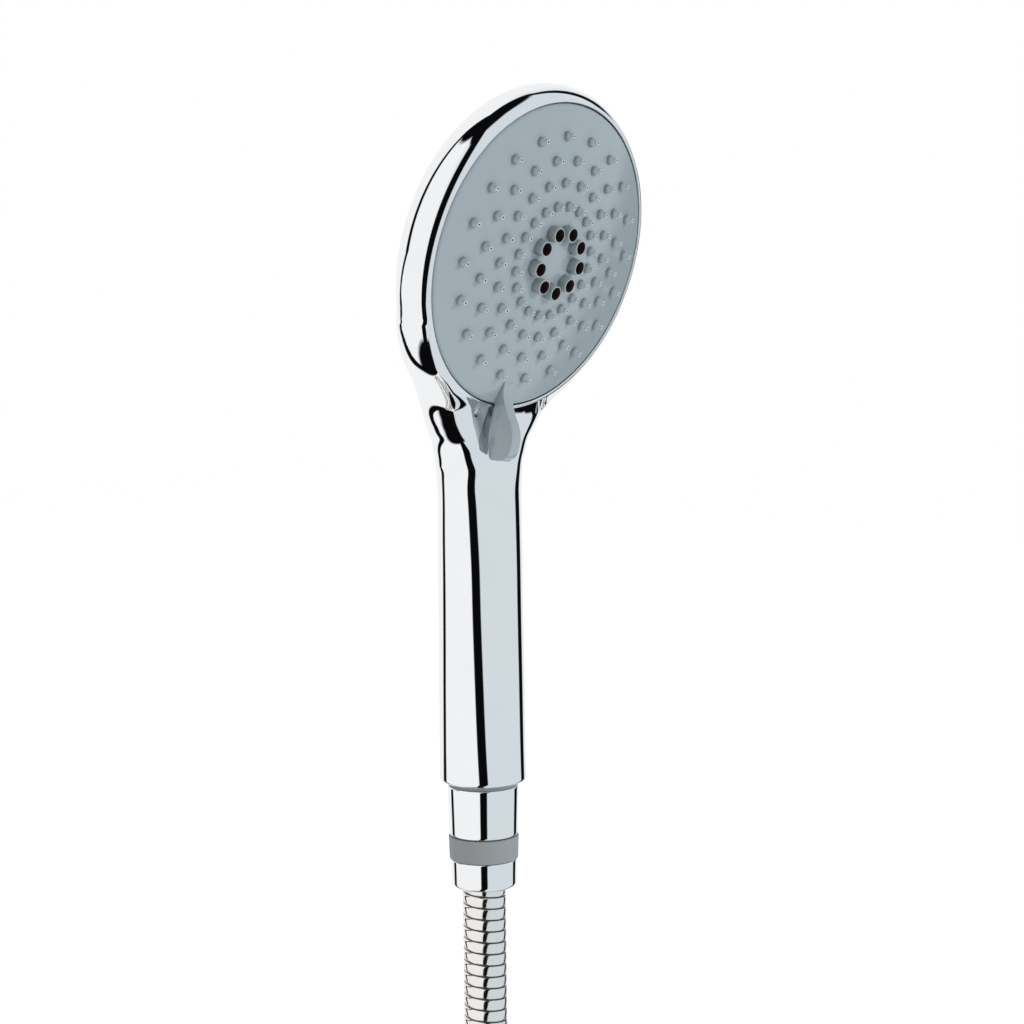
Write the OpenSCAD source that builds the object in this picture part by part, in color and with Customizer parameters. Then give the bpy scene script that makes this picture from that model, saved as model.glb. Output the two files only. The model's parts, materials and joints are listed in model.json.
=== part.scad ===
// Handheld shower head with a three-way spray face, click lever and spiral hose.
// The handle stands along Z and the spray face looks towards -Y, tilted down.
// The origin is on the axis of the conical hose nut, in the plane of its wide end.

/* [Handle] */
// Diameter of the handle at its lower end
handle_end_d = 29; // [26:0.5:32]
// Diameter of the handle where the neck starts
handle_top_d = 27.6; // [25:0.2:30]
// Height at which the neck starts
neck_start = 98; // [90:1:100]
// Thickness of the chromed shell's wall
wall = 2.2; // [1.6:0.1:2.4]

/* [Head] */
// Tilt of the spray face below the horizontal, in degrees
face_tilt = 14; // [10:1:18]
// Distance of the face's centre in front of the handle's axis
face_forward = 26.6; // [24:0.2:28]
// Height of the face's centre
face_height = 174.7; // [172:0.5:178]
// Radius of the spray plate
face_r = 49.15; // [48:0.05:49.2]
// Rise of the domed spray plate
face_rise = 6.4; // [4:0.2:8]
// Radius of the rounding round the head's edge
edge_r = 9; // [8:0.5:10]
// Depth of the head behind its rim
head_depth = 28.2; // [27.5:0.1:29]

/* [Spray face] */
// Turn of the spray face from the middle of its travel, in degrees
rest_turn = 9; // [0:1:9]
// Nozzles in each ring of small nozzles
ring_count = 20; // [16:1:24]
// Wide nozzles round the centre
massage_count = 9; // [6:1:9]
// Height of a small nozzle above the plate
nozzle_h = 3.4; // [2:0.2:4]
// Height of a wide nozzle above the plate
massage_h = 3.3; // [2:0.1:4]

/* [Hose] */
// Diameter of the metal hose
hose_d = 14.8; // [14:0.2:16]
// Radius of the coil at the middle of its turns
coil_r = 74; // [72:1:80]
// Distance between neighbouring turns
turn_pitch = 15; // [15:0.5:16]

/* [Hidden] */
$fn = 64;

// heights along the handle's axis
handle_end_z = 1.6;
nut_h = 16.9;
ring_h = 7.9;
ring_z = -nut_h;
sleeve_top = -nut_h - ring_h - 0.15;
sleeve_end = -34.5;
tube_low = 22.5;
tube_high = 116;
tube_r = 5.5;
stub_r = 6;
// centre of the edge rounding and of the big sphere behind the head, as radius and depth
edge_c = [44.9, -7.2];
back_r = 98.8;
back_c = back_r - head_depth;
rim_angle = 53.1;
back_angle = -60;
sphere_r = (face_r * face_r + face_rise * face_rise) / (2 * face_rise);
// heights of the plates under the spray face, measured from the rim's plane
plate_t = 1.8;
mat_t = 1.3;
channel_low = -9.2;
disc_low = -12.5;
manifold_front = -12.9;
manifold_back = -16;
pivot_r = 6;
disc_r = 38;
port_y = -22;
ball_r = 2;
ball_y = 30;
ball_z = -14.55;
ball_travel = 0.8;
clicks = [-27, -9, 9, 27];
screw_angles = [0, 60, 120, 180];
screw_ring_r = 36;
// small nozzles: ring radius and start angle as a part of the step
rings = [[39.35, 0.5], [32.1, 0], [25, 0.5], [17.8, 0]];
massage_ring_r = 9.6;
massage_start = 11;
// sections of the neck: height, half width, front and back reach from the handle's axis
neck = [[98, 13.74, 13.74, 13.74], [104, 14.2, 13.5, 13.6], [110, 16.4, 12.6, 12.9],
    [116, 20.2, 11.9, 11.6], [121, 24.4, 11.8, 10], [126, 29, 13, 8.2], [134, 36.2, 15.6, 5.6],
    [143, 42.8, 17, 3.8], [150, 45, 17, 3]];
// the hose's way from the handset down into the coil
coil_z = -191;
route = [[0, 0, -34.5], [0, 0, -60], [0, 0, -90], [0, 0, -120], [0, 0, -150], [0, 0, -170],
    [0, 0, -191], [1, 0.5, -203], [4.5, 1.5, -214], [10, 2.5, -224.3], [17.5, 4, -233],
    [27, 5.5, -240], [37, 7, -244.6], [48, 8.5, -246.8], [59.5, 10, -247.2], [71, 11, -246],
    [81.5, 12, -243.2], [91.5, 13, -238.8], [100.5, 14, -232.4], [108, 14.5, -224.4],
    [113.5, 15, -214.6], [117, 15, -203], [118.4, 15.5, -191]];
coil_x = 44.4;
coil_start_y = 15.5;
coil_turns = 2;
// the end of the hose: over the top of the coil and down at its left
tail_start_y = coil_start_y + coil_turns * turn_pitch;
tail_y = 62;
tail_end_z = -207;
tail_arc = [for (a = [0:15:165]) [coil_x + coil_r * cos(a), tail_start_y
    + (tail_y - tail_start_y) * a / 180, coil_z + coil_r * sin(a)]];
tail = concat(tail_arc, [[coil_x - coil_r, tail_y, coil_z], [coil_x - coil_r, tail_y, tail_end_z]]);
mixer_nut_h = 16;
mixer_thread_h = 8.3;
mixer_ferrule_h = 16;

chrome = "silver";
satin_grey = "lightslategray";
steel = "gainsboro";

function dome(r) = sqrt(sphere_r * sphere_r - r * r) - sphere_r + face_rise;
function arc(c, r, a, b, n) = [for (i = [0:n]) let (t = a + (b - a) * i / n)
    [c[0] + r * cos(t), c[1] + r * sin(t)]];
function cap(drop, from, to, n) = [for (i = [0:n]) let (r = from + (to - from) * i / n)
    [r, dome(r) - drop]];

// places a child on the spray face, X across and Z out of it
module on_face() {
    translate([0, -face_forward, face_height]) rotate([90 + face_tilt, 0, 0]) children();
}

// places a child on the spray face, turned with it
module on_turned_face() {
    on_face() rotate([0, 0, -rest_turn]) children();
}

// a round rod between two points
module rod(p, q, r) {
    d = q - p;
    translate(p) rotate([0, acos(d[2] / norm(d)), atan2(d[1], d[0])]) cylinder(h = norm(d), r = r);
}

// a plain round ring
module ring(outer, inner, low, high) {
    translate([0, 0, low]) difference() {
        cylinder(h = high - low, r = outer);
        translate([0, 0, -1]) cylinder(h = high - low + 2, r = inner);
    }
}

// a rubber ring of round section
module o_ring(r, section_r, z) {
    translate([0, 0, z]) rotate_extrude() translate([r, 0]) circle(r = section_r, $fn = 24);
}

// a closed solid through rings of points, from the first ring to the last
module skin(rows) {
    n = len(rows[0]);
    last = (len(rows) - 1) * n;
    sides = [for (i = [0:len(rows) - 2], j = [0:n - 1]) let (k = (j + 1) % n)
        each [[i * n + j, (i + 1) * n + j, i * n + k], [(i + 1) * n + j, (i + 1) * n + k, i * n + k]]];
    low = [[for (j = [0:n - 1]) j]];
    high = [[for (j = [0:n - 1]) last + n - 1 - j]];
    polyhedron(points = [for (row = rows) each row], faces = concat(low, sides, high));
}

// a tube swept along points, its section turned as little as possible
function unit(v) = v / norm(v);
function way(path, i) = unit(path[min(i + 1, len(path) - 1)] - path[max(i - 1, 0)]);
function side_step(path, i, s) = unit(s - (s * way(path, i)) * way(path, i));
function side_of(path, i, first) = i == 0 ? side_step(path, 0, first)
    : side_step(path, i, side_of(path, i - 1, first));
module tube(path, r, sides, first) {
    skin([for (i = [0:len(path) - 1]) let (s = side_of(path, i, first), c = cross(way(path, i), s))
        [for (j = [0:sides - 1]) let (a = 360 * j / sides)
            path[i] + r * (cos(a) * s - sin(a) * c)]]);
}

// a coil spring standing on its base
module spring(r, wire_r, turns, h) {
    steps = 12 * turns;
    path = [for (i = [0:steps]) [r * cos(30 * i), r * sin(30 * i),
        wire_r + (h - 2 * wire_r) * i / steps]];
    tube(path, wire_r, 6, [0, 0, 1]);
}

// places a child at each small nozzle, and gives it its ring's radius in $ring_r
module at_nozzles() {
    step = 360 / ring_count;
    for (row = rings, i = [0:ring_count - 1]) {
        $ring_r = row[0];
        a = step * (i + row[1]);
        translate([row[0] * sin(a), row[0] * cos(a), 0]) children();
    }
}

// places a child at each wide nozzle
module at_massage_nozzles() {
    for (i = [0:massage_count - 1]) {
        a = massage_start + 360 / massage_count * i;
        translate([massage_ring_r * sin(a), massage_ring_r * cos(a), 0]) children();
    }
}

// one thin slice of the neck, drawn in by the inset
module neck_slice(s, inset) {
    back = s[3] - inset;
    front = s[2] - inset;
    translate([0, (back - front) / 2, s[0]]) scale([s[1] - inset, (back + front) / 2, 1])
        cylinder(h = 0.01, r = 1, $fn = 40);
}

// the neck as a filled body, from the round handle to the wide head
module neck_body(inset) {
    for (i = [0:len(neck) - 2]) hull() {
        neck_slice(neck[i], inset);
        neck_slice(neck[i + 1], inset);
    }
}

// the bowl of the head as a filled body, drawn in by the inset
module bowl(inset, front) {
    start = front > 0 ? 43.7 : rim_angle;
    rotate_extrude() polygon(concat([[0, front]], front > 0 ? [[49.45, front], [49.45, -2.5]] : [],
        arc(edge_c, edge_r - inset, start, back_angle, 8),
        arc([0, back_c], back_r - inset, back_angle - 4, -90, 5)));
}

module handle_body() {
    end_r = handle_end_d / 2;
    rotate_extrude() polygon([[0, handle_end_z], [end_r - 0.9, handle_end_z],
        [end_r - 0.25, handle_end_z + 0.4], [end_r, handle_end_z + 1.2],
        [handle_top_d / 2, neck_start + 0.6], [0, neck_start + 0.6]]);
}

module screw_bosses(r, low, high) {
    on_face() for (a = screw_angles)
        translate([screw_ring_r * cos(a), screw_ring_r * sin(a), low])
            cylinder(h = high - low, r = r);
}

module outer_shell() {
    color(chrome) difference() {
        union() {
            difference() {
                union() {
                    on_face() bowl(0, 0);
                    neck_body(0);
                    handle_body();
                }
                on_face() bowl(wall, 1);
                neck_body(wall);
                translate([0, 0, handle_end_z - 1])
                    cylinder(h = neck_start + 1, r = handle_top_d / 2 - wall);
            }
            screw_bosses(3.5, -19.3, manifold_back - 0.05);
        }
        screw_bosses(1.2, -18.9, manifold_back + 1);
    }
}

module spray_plate() {
    skirt_r = face_r - 2.05;
    color(satin_grey) on_turned_face() difference() {
        rotate_extrude() polygon(concat(cap(0, 0, 48.4, 8),
            [[face_r - 0.15, -0.35], [face_r, -0.9], [face_r, channel_low], [skirt_r, channel_low],
            [skirt_r, dome(46.6) - plate_t - 0.6]], cap(plate_t, 46.6, 0, 8)));
        at_nozzles() translate([0, 0, -5]) cylinder(h = 14, r = 1.4, $fn = 24);
        at_massage_nozzles() cylinder(h = 14, r = 2.6, $fn = 32);
    }
}

// one soft nozzle: a stem through the plate and a tapered tip, with a fine bore
module small_nozzle(base) {
    rotate_extrude($fn = 24) polygon([[0.35, base - plate_t - 0.6], [1.3, base - plate_t - 0.6],
        [1.3, base + 0.08], [1.75, base + 0.12], [1.55, base + 0.9], [0.95, base + nozzle_h - 0.3],
        [0.75, base + nozzle_h], [0.35, base + nozzle_h]]);
}

module nozzle_mat() {
    top = plate_t + 0.05;
    color(satin_grey) on_turned_face() {
        difference() {
            rotate_extrude() polygon(concat(cap(top, 14.3, 46.4, 7), cap(top + mat_t, 46.4, 14.3, 7)));
            at_nozzles() translate([0, 0, -6]) cylinder(h = 12, r = 0.35, $fn = 24);
        }
        at_nozzles() small_nozzle(dome($ring_r));
    }
}

module massage_nozzles() {
    top = face_rise - plate_t - 0.6;
    color(satin_grey) on_turned_face() {
        difference() {
            translate([0, 0, top - 1.6]) cylinder(h = 1.6, r = 14);
            at_massage_nozzles() translate([0, 0, top - 3]) cylinder(h = 4, r = 1.8, $fn = 32);
        }
        at_massage_nozzles() ring(2.5, 1.8, top - 0.1, dome(massage_ring_r) + massage_h);
    }
}

// outline of the lever in its own plane: distance from the face's centre, height above the rim
lever_outline = [[41.2, 1.1], [41.3, 2.2], [44.5, 2.7], [47, 4], [50.8, 6.7], [53.6, 9.3], [56.4, 10.9],
    [60, 11.7], [63.2, 11.3], [65.2, 9.4], [66.1, 6.6], [66, 4.4], [62.8, 2.8], [58.6, 1.5],
    [54, 0.7], [49.1, 0.5], [48.6, -0.6]];
module selector_lever() {
    color(satin_grey) on_turned_face() rotate([0, 0, -90]) rotate([90, 0, 0])
        linear_extrude(4.5, center = true) polygon(lever_outline);
}

module channel_plate() {
    color("white") on_turned_face() difference() {
        union() {
            translate([0, 0, channel_low]) cylinder(h = 1.5, r = 46.9);
            for (r = [14.6, 28.6, 43])
                ring(r + 0.6, r - 0.6, channel_low + 1, dome(r) - plate_t - mat_t - 0.9);
            translate([0, 0, channel_low]) cylinder(h = 4.2, r = 11);
            translate([0, 0, -5.5]) cylinder(h = 8, r = 1.5);
        }
        translate([0, 0, channel_low - 1]) cylinder(h = 4.6, r = 9.8);
        for (a = [-60, 0, 60]) translate([22 * sin(a), -22 * cos(a), channel_low - 1])
            cylinder(h = 4, r = 2.6);
        for (a = [120, 180, 240]) translate([36 * sin(a), -36 * cos(a), channel_low - 1])
            cylinder(h = 4, r = 2.6);
        for (a = [60, 180, 300]) translate([12.5 * sin(a), 12.5 * cos(a), channel_low - 1])
            cylinder(h = 5, r = 0.9);
    }
}

module distributor_disc() {
    color("white") on_turned_face() difference() {
        translate([0, 0, disc_low]) cylinder(h = channel_low - disc_low - 0.1, r = disc_r);
        translate([0, 0, disc_low - 1]) cylinder(h = 6, r = pivot_r + 0.06);
        for (a = clicks) {
            translate([-port_y * sin(a), port_y * cos(a), disc_low - 1]) cylinder(h = 6, r = 2.6);
            translate([ball_y * sin(a), ball_y * cos(a), ball_z + ball_travel])
                sphere(r = ball_r + 0.15);
        }
    }
}

module turbine_wheel() {
    low = -4.6;
    color("tan") on_turned_face() {
        ring(3, 1.56, low, 1.6);
        difference() {
            union() {
                ring(12.6, 11.6, low, -1);
                for (i = [0:5]) rotate([0, 0, 60 * i]) translate([2.8, -0.5, low]) cube([9.2, 1, 3.6]);
            }
            translate([0, 0, low - 1]) cylinder(h = 9, r = 2.6);
        }
        translate([0, 0, -1.1]) intersection() {
            ring(12.6, 2.9, 0, 1.2);
            translate([-15, 0, -1]) cube([30, 15, 3]);
        }
    }
}

module face_point(p) { on_face() translate(p) children(); }
function on_face_point(p) = [p[0],
    -face_forward - p[1] * sin(face_tilt) - p[2] * cos(face_tilt),
    face_height + p[1] * cos(face_tilt) - p[2] * sin(face_tilt)];

module manifold() {
    elbow = [0, -34, -17];
    duct_low = [0, 0, 116.5];
    color("dimgray") difference() {
        union() {
            on_face() {
                translate([0, 0, manifold_back])
                    cylinder(h = manifold_front - manifold_back, r = 41.4);
                translate([0, 0, manifold_front - 0.1]) cylinder(h = 3.8, r = pivot_r);
                translate([0, 0, -20]) cylinder(h = 5, r = 4.5);
                translate([0, port_y, -20.6]) cylinder(h = 5, r = 6.6);
                translate([0, ball_y, -19.2]) cylinder(h = 4, r = 3.6);
            }
            translate([0, 0, 107.5]) cylinder(h = 9.5, r = 6.8);
            hull() {
                translate([0, 0, 115]) cylinder(h = 2, r = 6.2, $fn = 32);
                face_point([0, elbow[1], -18.6]) cylinder(h = 4, r = 5.2, $fn = 32);
            }
            hull() {
                face_point([0, elbow[1], -18.8]) cylinder(h = 4, r = 4, $fn = 32);
                face_point([0, port_y, -18.8]) cylinder(h = 4, r = 5, $fn = 32);
            }
        }
        translate([0, 0, 106.5]) cylinder(h = 9.6, r = tube_r + 0.1);
        // room for the turning disc and plate in front
        on_face() difference() {
            translate([0, 0, manifold_front]) cylinder(h = 20, r = disc_r + 0.4);
            translate([0, 0, manifold_front - 1]) cylinder(h = 4.7, r = pivot_r);
        }
        on_face() translate([0, 0, channel_low - 0.7]) difference() {
            cylinder(h = 20, r = face_r + 1);
            translate([0, 0, -1]) cylinder(h = 1.7, r = pivot_r);
        }
        rod(duct_low - [0, 0, 1], on_face_point(elbow + [0, 0, 0.6]), 2.7);
        rod(on_face_point(elbow + [0, 0, 0.6]), on_face_point([0, port_y, -17.2]), 2);
        on_face() {
            translate([0, port_y, -19.4]) cylinder(h = 9, r = 5.1);
            translate([0, ball_y, -18.4]) cylinder(h = 9, r = ball_r + 0.08);
            translate([0, 0, -18]) cylinder(h = 12, r = 1.95);
            for (a = screw_angles) translate([screw_ring_r * cos(a), screw_ring_r * sin(a), -18])
                cylinder(h = 9, r = 1.6);
            for (a = screw_angles)
                translate([screw_ring_r * cos(a), screw_ring_r * sin(a), manifold_front - 2.1])
                    cylinder(h = 3, r = 3);
        }
    }
}

module manifold_screws() {
    color(steel) {
        screw_bosses(1.15, -18.8, manifold_front - 0.2);
        screw_bosses(2.8, manifold_front - 2.05, manifold_front - 0.1);
    }
}

module pivot_washer() {
    color(steel) on_face() ring(9, 2.1, channel_low, channel_low + 1);
}

module pivot_screw() {
    head = channel_low + 1.05;
    color(steel) on_face() difference() {
        union() {
            translate([0, 0, head]) cylinder(h = 1.9, r = 4.2);
            translate([0, 0, -17.5]) cylinder(h = 9.6, r = 1.9);
        }
        translate([0, 0, head + 0.8]) cylinder(h = 3, r = 1.6, $fn = 6);
    }
}

module port_seal() {
    color("darkslategray") on_face() translate([0, port_y, 0]) rotate_extrude()
        polygon([[2.4, -16], [4.9, -16], [4.9, -13.4], [4.2, -12.56], [3, -12.56], [2.4, -13.2]]);
}

module seal_spring() {
    color(steel) on_face() translate([0, port_y, -19.35]) spring(3.6, 0.4, 3, 3.3);
}

module detent_ball() {
    color(steel) on_face() translate([0, ball_y, ball_z]) sphere(r = ball_r);
}

module detent_spring() {
    color(steel) on_face() translate([0, ball_y, -18.35]) spring(1.4, 0.22, 3, 1.7);
}

module edge_seal() {
    color("dimgray") on_face() ring(50.2, 49.25, -5.6, -3.9);
}

module waterway_tube() {
    color("white") difference() {
        translate([0, 0, tube_low]) cylinder(h = tube_high - tube_low, r = tube_r);
        translate([0, 0, tube_low - 1]) cylinder(h = tube_high - tube_low + 2, r = 4);
        for (z = [tube_low + 3, tube_high - 5.5]) ring(tube_r + 1, 4.75, z, z + 1.4);
    }
}

module upper_o_ring() { color("black") o_ring(5.17, 0.4, tube_high - 4.8); }
module lower_o_ring() { color("black") o_ring(5.17, 0.4, tube_low + 3.7); }

module inlet_connector() {
    color("gray") difference() {
        union() {
            translate([0, 0, -11]) cylinder(h = 12, r = 10.4);
            translate([0, 0, 0.05]) cylinder(h = 18, r = 11.5);
            translate([0, 0, 17]) cylinder(h = 13, r = 8);
        }
        translate([0, 0, -12]) cylinder(h = 40, r = 5);
        translate([0, 0, 22.4]) cylinder(h = 10, r = tube_r + 0.1);
        translate([0, 0, -12]) cylinder(h = 5.4, r = 8);
    }
}

module flow_regulator() {
    color("seagreen") difference() {
        rotate_extrude() polygon([[0, -10.6], [7.3, -10.6], [7.3, -9.5], [6.9, -9.5], [6.9, -8.3],
            [7.3, -8.3], [7.3, -6.7], [0, -6.7]]);
        for (i = [0:7]) rotate([0, 0, 45 * i]) translate([4, 0, -11]) cylinder(h = 5, r = 0.8);
    }
}

module regulator_o_ring() { color("black") o_ring(7.43, 0.5, -8.9); }

module inlet_washer() { color("black") ring(9.6, 5.6, -12.95, -11.02); }

module strainer_mesh() {
    color(steel) difference() {
        translate([0, 0, -12.2]) cylinder(h = 0.5, r = 5.55);
        for (x = [-2:2], y = [-2:2]) translate([1.6 * x, 1.6 * y, -13]) cylinder(h = 2, r = 0.5, $fn = 16);
    }
}

module cone_nut() {
    color(chrome) rotate_extrude() polygon([[10.45, -0.4], [10.9, 0], [11.65, 0], [11.95, -0.35],
        [11.5, -nut_h], [9.5, -nut_h], [9.5, -nut_h - ring_h], [stub_r + 0.08, -nut_h - ring_h],
        [stub_r + 0.08, -15.95], [10.45, -15.95]]);
}

module swivel_ring() {
    low = ring_z - ring_h;
    color("gray") rotate_extrude() polygon([[9.54, ring_z - 0.03], [11.72, ring_z - 0.03],
        [11.45, low], [9.54, low]]);
}

module swivel_stub() {
    color("goldenrod") difference() {
        union() {
            translate([0, 0, -15.9]) cylinder(h = 2.9, r = 9.7);
            translate([0, 0, -32.4]) cylinder(h = 17, r = stub_r);
        }
        translate([0, 0, -33]) cylinder(h = 21, r = 3.8);
        ring(stub_r + 1, 5.4, -29.3, -28.4);
    }
}

module swivel_o_ring() { color("black") o_ring(6.79, 0.74, -31.2); }

module swivel_circlip() {
    color(steel) difference() {
        ring(7.3, 5.45, -29.25, -28.45);
        translate([3, -1.5, -30]) cube([8, 3, 3]);
    }
}

module hose_sleeve() {
    color(chrome) rotate_extrude() polygon(concat([[stub_r + 0.06, sleeve_top], [10.9, sleeve_top],
        [11.2, sleeve_top - 0.3], [10.95, -33]], arc([9.45, -33], 1.5, -15, -90, 4),
        [[7.5, sleeve_end], [7.5, -33], [9, -33], [9, -27], [stub_r + 0.06, -27]]));
}

module hose_ferrule() { color("goldenrod") ring(8.95, 7.6, -32.95, -27.05); }

module hose() { color(steel) tube(route, hose_d / 2, 10, [1, 0, 0]); }

// the turns of the coil as one closed body
module hose_coil() {
    low = coil_start_y - hose_d / 2;
    color(steel) translate([coil_x, low, coil_z]) rotate([-90, 0, 0])
        ring(coil_r + hose_d / 2, coil_r - hose_d / 2, 0, turn_pitch * (coil_turns - 0.4) + hose_d);
}

module hose_tail() { color(steel) tube(tail, hose_d / 2, 10, [0, 1, 0]); }

module coil_tie() {
    low = coil_start_y - hose_d / 2 - 0.6;
    size_y = turn_pitch * (coil_turns - 0.4) + hose_d + 1.2;
    translate([coil_x - 6, low, coil_z - coil_r - 8]) color("black") difference() {
        translate([0, -1.4, -1.4]) cube([12, size_y + 2.8, 19]);
        translate([-1, 0, 0]) cube([14, size_y, 16.2]);
    }
}

module at_far_end() { translate([coil_x - coil_r, tail_y, tail_end_z]) children(); }

module mixer_ferrule() {
    color(chrome) at_far_end() rotate_extrude() polygon([[0, -0.02], [8.2, -0.02], [8.7, -0.6],
        [8.7, -mixer_ferrule_h + 0.6], [8.1, -mixer_ferrule_h], [0, -mixer_ferrule_h]]);
}

module mixer_nipple() {
    low = -mixer_ferrule_h;
    color("goldenrod") at_far_end() difference() {
        union() {
            translate([0, 0, low - 4]) cylinder(h = 3.98, r = 6);
            translate([0, 0, low - 6]) cylinder(h = 2.4, r = 9.1);
        }
        translate([0, 0, low - 8]) cylinder(h = 7, r = 4);
    }
}

module mixer_washer() {
    color("black") at_far_end() ring(9.1, 5, -mixer_ferrule_h - 7.7, -mixer_ferrule_h - 6.02);
}

module mixer_nut() {
    top = -mixer_ferrule_h - 0.4;
    color(chrome) at_far_end() difference() {
        intersection() {
            translate([0, 0, top - mixer_nut_h]) cylinder(h = mixer_nut_h, r = 12.6);
            translate([0, 0, top - mixer_nut_h]) cylinder(h = mixer_nut_h, r = 13.4, $fn = 6);
        }
        translate([0, 0, top - 4]) cylinder(h = 6, r = 6.08);
        translate([0, 0, top - mixer_nut_h - 1]) cylinder(h = mixer_thread_h + 1.1, r = 9.3);
        translate([0, 0, top - mixer_nut_h + mixer_thread_h])
            cylinder(h = mixer_nut_h - 3.1 - mixer_thread_h, r = 9.8);
    }
}

outer_shell();
spray_plate();
nozzle_mat();
massage_nozzles();
selector_lever();
channel_plate();
distributor_disc();
turbine_wheel();
manifold();
manifold_screws();
pivot_washer();
pivot_screw();
port_seal();
seal_spring();
detent_ball();
detent_spring();
edge_seal();
waterway_tube();
upper_o_ring();
lower_o_ring();
inlet_connector();
flow_regulator();
regulator_o_ring();
inlet_washer();
strainer_mesh();
cone_nut();
swivel_ring();
swivel_stub();
swivel_o_ring();
swivel_circlip();
hose_sleeve();
hose_ferrule();
hose();
hose_coil();
hose_tail();
coil_tie();
mixer_ferrule();
mixer_nipple();
mixer_washer();
mixer_nut();
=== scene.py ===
# Handheld shower head with a three-way spray face, click lever and spiral metal hose.
# Sizes are in millimetres, and points are turned into metres when a mesh is made.
import json
import math

import bmesh
import bpy
import numpy as np
from mathutils import Matrix, Vector


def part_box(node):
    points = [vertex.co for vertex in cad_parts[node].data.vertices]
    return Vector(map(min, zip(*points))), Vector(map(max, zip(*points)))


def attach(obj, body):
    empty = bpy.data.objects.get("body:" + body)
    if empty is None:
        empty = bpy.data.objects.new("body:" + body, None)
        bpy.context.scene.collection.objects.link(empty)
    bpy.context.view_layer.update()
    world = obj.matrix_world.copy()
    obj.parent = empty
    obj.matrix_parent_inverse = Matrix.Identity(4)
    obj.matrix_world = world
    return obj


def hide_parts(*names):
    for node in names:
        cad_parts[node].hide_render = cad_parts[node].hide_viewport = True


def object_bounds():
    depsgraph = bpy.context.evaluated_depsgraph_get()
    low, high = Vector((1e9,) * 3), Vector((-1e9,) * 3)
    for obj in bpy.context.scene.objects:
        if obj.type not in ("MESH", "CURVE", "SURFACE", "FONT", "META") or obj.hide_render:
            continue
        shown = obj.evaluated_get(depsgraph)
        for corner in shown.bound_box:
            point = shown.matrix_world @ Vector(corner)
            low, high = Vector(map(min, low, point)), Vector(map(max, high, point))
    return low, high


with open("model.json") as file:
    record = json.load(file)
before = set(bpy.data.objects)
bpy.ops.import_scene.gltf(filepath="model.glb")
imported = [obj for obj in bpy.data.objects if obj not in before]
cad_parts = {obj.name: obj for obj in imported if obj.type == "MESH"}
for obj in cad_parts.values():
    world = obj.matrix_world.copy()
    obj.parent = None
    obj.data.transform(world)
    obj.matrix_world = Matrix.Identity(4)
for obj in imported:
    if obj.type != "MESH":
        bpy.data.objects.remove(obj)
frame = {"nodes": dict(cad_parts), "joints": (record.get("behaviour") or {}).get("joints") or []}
cad_box = [list(corner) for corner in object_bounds()]

# ---- Chromed shell ----
# Head bowl, flared neck and slightly oval handle are one shell, moulded in ABS and plated with
# bright chrome. It has a wall of 2.2 mm, a thin rounded lip round the spray face and an open foot, where
# the hose connector is pressed in.
MM = 0.001
turning = next(j for j in frame["joints"] if j["name"] == "spray_select")
face_axis = Vector(turning["axis"]).normalized()
face_up = face_axis.cross(Vector((1, 0, 0))).normalized()
face_axes = Matrix(((1, 0, 0), face_up, face_axis)).transposed().to_4x4()
face_place = Matrix.Translation(turning["pos_m"]) @ face_axes
FACE_CENTRE = np.array(turning["pos_m"]) / MM
FACE_TURN = np.array(face_place.to_3x3())

shell_wall = 2.2
bore_r, bore_end, neck_z = 11.6, 12.0, 98.0
foot_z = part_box("outer_shell")[0].z / MM
edge_ring_r, edge_depth, edge_r = 44.9, -7.2, 9.0
back_r, back_depth, back_from = 98.8, 70.6, math.radians(-60)
neck_blend = 5.0
slab_from, slab_to = 97.0, 112.0
# oval sections of the handle: height, half width, half depth
handle_rows = np.array([
    [2, 14.5, 14.5], [8, 14.6, 14.3], [36, 14.97, 13.7], [56, 15.1, 13.3], [75, 15.2, 13.05],
    [90, 15.4, 12.6], [98, 15.5, 12.3], [106, 15.7, 12.2], [125, 16, 12]])
# slab sections of the neck, which runs into the head's round edge: height, half width of its
# middle plane, reach of that plane from the handle's axis to the back, half thickness
neck_rows = np.array([
    [96, 3.1, 0, 12.3], [103, 3.3, 0, 12.2], [108, 3.6, 0, 12.1], [112, 4.7, -0.3, 11.8],
    [116, 6.3, -0.8, 11.4], [120, 8.9, -1.6, 10.9], [124, 11.9, -2.6, 10.6], [128, 14.9, -3.8, 10.5],
    [132, 18, -5.5, 10.5], [136, 21.2, -7, 10.4], [140, 24.8, -8.6, 10.2], [144, 28.7, -10.1, 9.8],
    [148, 32.5, -11.6, 9.2], [152, 36, -13, 8.5], [156, 39, -14.3, 8]])


def smooth_rows(rows, heights):
    """Rows of values read at any height, along a cubic through each row"""
    slopes = np.gradient(rows[:, 1:], rows[:, 0], axis=0)
    i = np.clip(np.searchsorted(rows[:, 0], heights) - 1, 0, len(rows) - 2)
    step = rows[i + 1, 0] - rows[i, 0]
    t = np.clip((heights - rows[i, 0]) / step, 0, 1)[:, None]
    step = step[:, None]
    return ((2 * t**3 - 3 * t**2 + 1) * rows[i, 1:] + (t**3 - 2 * t**2 + t) * step * slopes[i]
            + (3 * t**2 - 2 * t**3) * rows[i + 1, 1:] + (t**3 - t**2) * step * slopes[i + 1])


def head_field(points):
    """Distance from the head's outside: a big ball behind, and a round edge at the rim"""
    local = (points - FACE_CENTRE) @ FACE_TURN
    r, w = np.hypot(local[:, 0], local[:, 1]), local[:, 2]
    along, over = r - edge_ring_r, w - edge_depth
    behind = np.arctan2(over, along) < back_from
    edge = np.where(along < 0, over - edge_r, np.hypot(along, over) - edge_r)
    return np.where(behind, np.hypot(r, w - back_depth) - back_r, edge)


def ramp(values, low, high):
    """0 below low, 1 above high, and a smooth rise between them"""
    t = np.clip((values - low) / (high - low), 0, 1)
    return t * t * (3 - 2 * t)


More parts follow.
